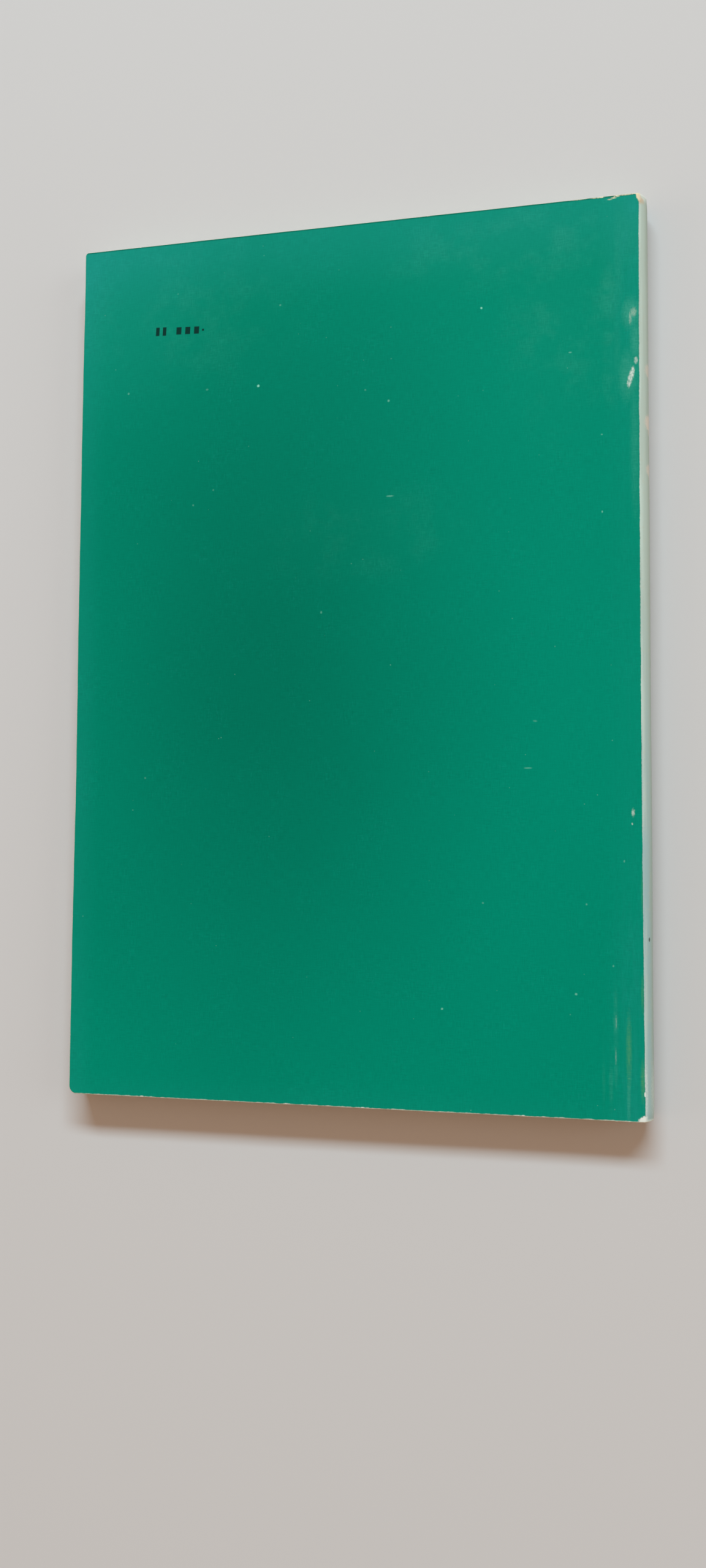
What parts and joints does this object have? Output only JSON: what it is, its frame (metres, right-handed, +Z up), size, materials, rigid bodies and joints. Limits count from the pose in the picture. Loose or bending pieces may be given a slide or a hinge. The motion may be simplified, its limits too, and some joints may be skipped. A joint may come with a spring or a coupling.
{
  "type": "paperback book",
  "caption": "Thin paperback book with a rounded glued spine, one block of leaves and two card covers that swing open.",
  "frame": {"origin": "middle of the bounding box's bottom, which is the middle of the face that the closed book lies on", "axes": "+X from the fore edge towards the spine, +Y from the tail towards the head, +Z up through the back cover"},
  "size_m": [0.1318, 0.2, 0.0075],
  "materials": {
    "leaves": "matte",
    "glue": "matte",
    "cover_card": "satin"
  },
  "bodies": {
    "block": {"page_block": "leaves", "spine_glue": "glue", "cover_spine": "cover_card"},
    "back_cover": {"back_cover": "cover_card"},
    "front_cover": {"front_cover": "cover_card"}
  },
  "joints": [
    {"name": "back_cover_hinge", "type": "hinge", "parent": "block", "child": "back_cover", "pos_m": [0.05825, 0, 0.00755], "axis": [0, 1, 0], "range_deg": [0, 180]},
    {"name": "front_cover_hinge", "type": "hinge", "parent": "block", "child": "front_cover", "pos_m": [0.05825, 0, -0.00005], "axis": [0, -1, 0], "range_deg": [0, 180]}
  ]
}
